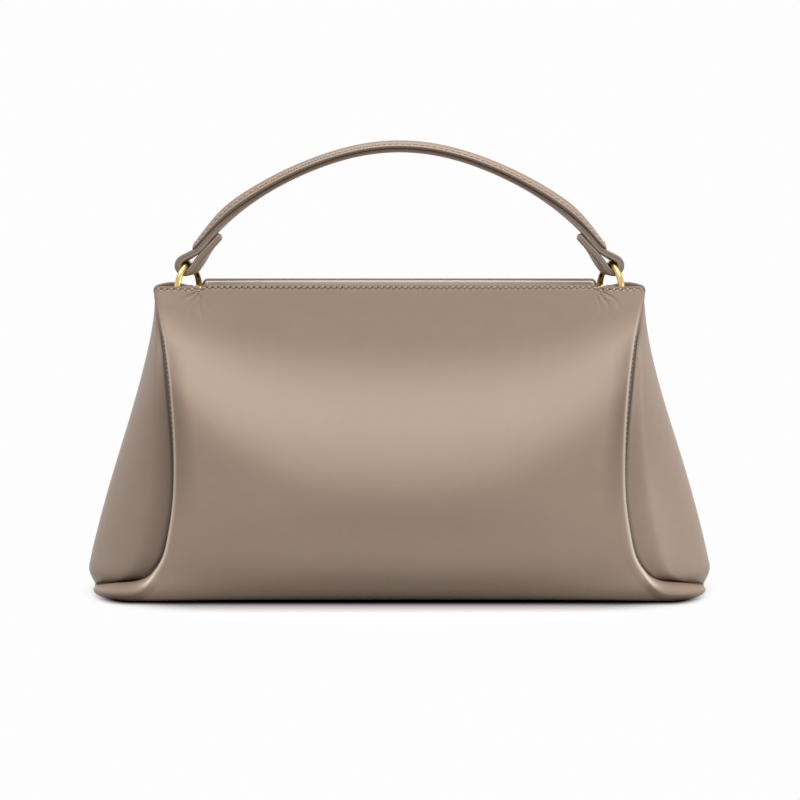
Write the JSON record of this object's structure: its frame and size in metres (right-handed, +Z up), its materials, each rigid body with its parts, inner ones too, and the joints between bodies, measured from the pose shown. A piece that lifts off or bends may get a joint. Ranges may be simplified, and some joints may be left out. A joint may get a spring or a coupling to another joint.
{
  "type": "top-handle handbag",
  "caption": "Trapezoid leather handbag with an open mouth, bulging gussets, a fabric lining, a hidden magnetic snap and a padded arched handle on brass D-rings.",
  "frame": {"origin": "centre of the bag's box at the level of the floor that it stands on", "axes": "+X along the bag's length, to the right seen from the front; -Y to the front; +Z up"},
  "size_m": [0.351, 0.1332, 0.2549],
  "materials": {
    "body_leather": "smooth matte-satin taupe calf",
    "trim_leather": "smooth taupe calf with painted edges",
    "lining": "fine woven cotton",
    "board": "bonded fibre board",
    "filler": "felted filler",
    "ring_brass": "polished",
    "snap_metal": "plated steel"
  },
  "bodies": {
    "bag": {"front_panel": "body_leather", "rear_panel": "body_leather", "left_gusset": "body_leather", "right_gusset": "body_leather", "front_lining": "lining", "rear_lining": "lining", "left_lining": "lining", "right_lining": "lining", "base_lining": "lining", "base_board": "board", "front_facing": "trim_leather", "rear_facing": "trim_leather", "slip_pocket": "lining", "snap_socket": "snap_metal", "socket_washer": "snap_metal", "snap_stud": "snap_metal", "stud_washer": "snap_metal", "left_ring_tab": "trim_leather", "right_ring_tab": "trim_leather"},
    "left_ring": {"left_ring": "ring_brass"},
    "right_ring": {"right_ring": "ring_brass"},
    "handle": {"handle_strap": "trim_leather", "handle_cap": "body_leather", "handle_core": "filler"}
  },
  "joints": [
    {"name": "left_ring_swing", "type": "hinge", "parent": "bag", "child": "left_ring", "pos_m": [-0.1193, 0, 0.1685], "axis": [1, 0, 0], "range_deg": [-30, 30]},
    {"name": "right_ring_swing", "type": "hinge", "parent": "bag", "child": "right_ring", "pos_m": [0.1193, 0, 0.1685], "axis": [1, 0, 0], "range_deg": [-30, 30]},
    {"name": "handle_swing", "type": "hinge", "parent": "left_ring", "child": "handle", "pos_m": [-0.1193, 0, 0.185], "axis": [1, 0, 0], "range_deg": [-11, 11]}
  ],
  "couplings": [
    {"joint": "right_ring_swing", "follows": "left_ring_swing", "ratio": 1}
  ]
}
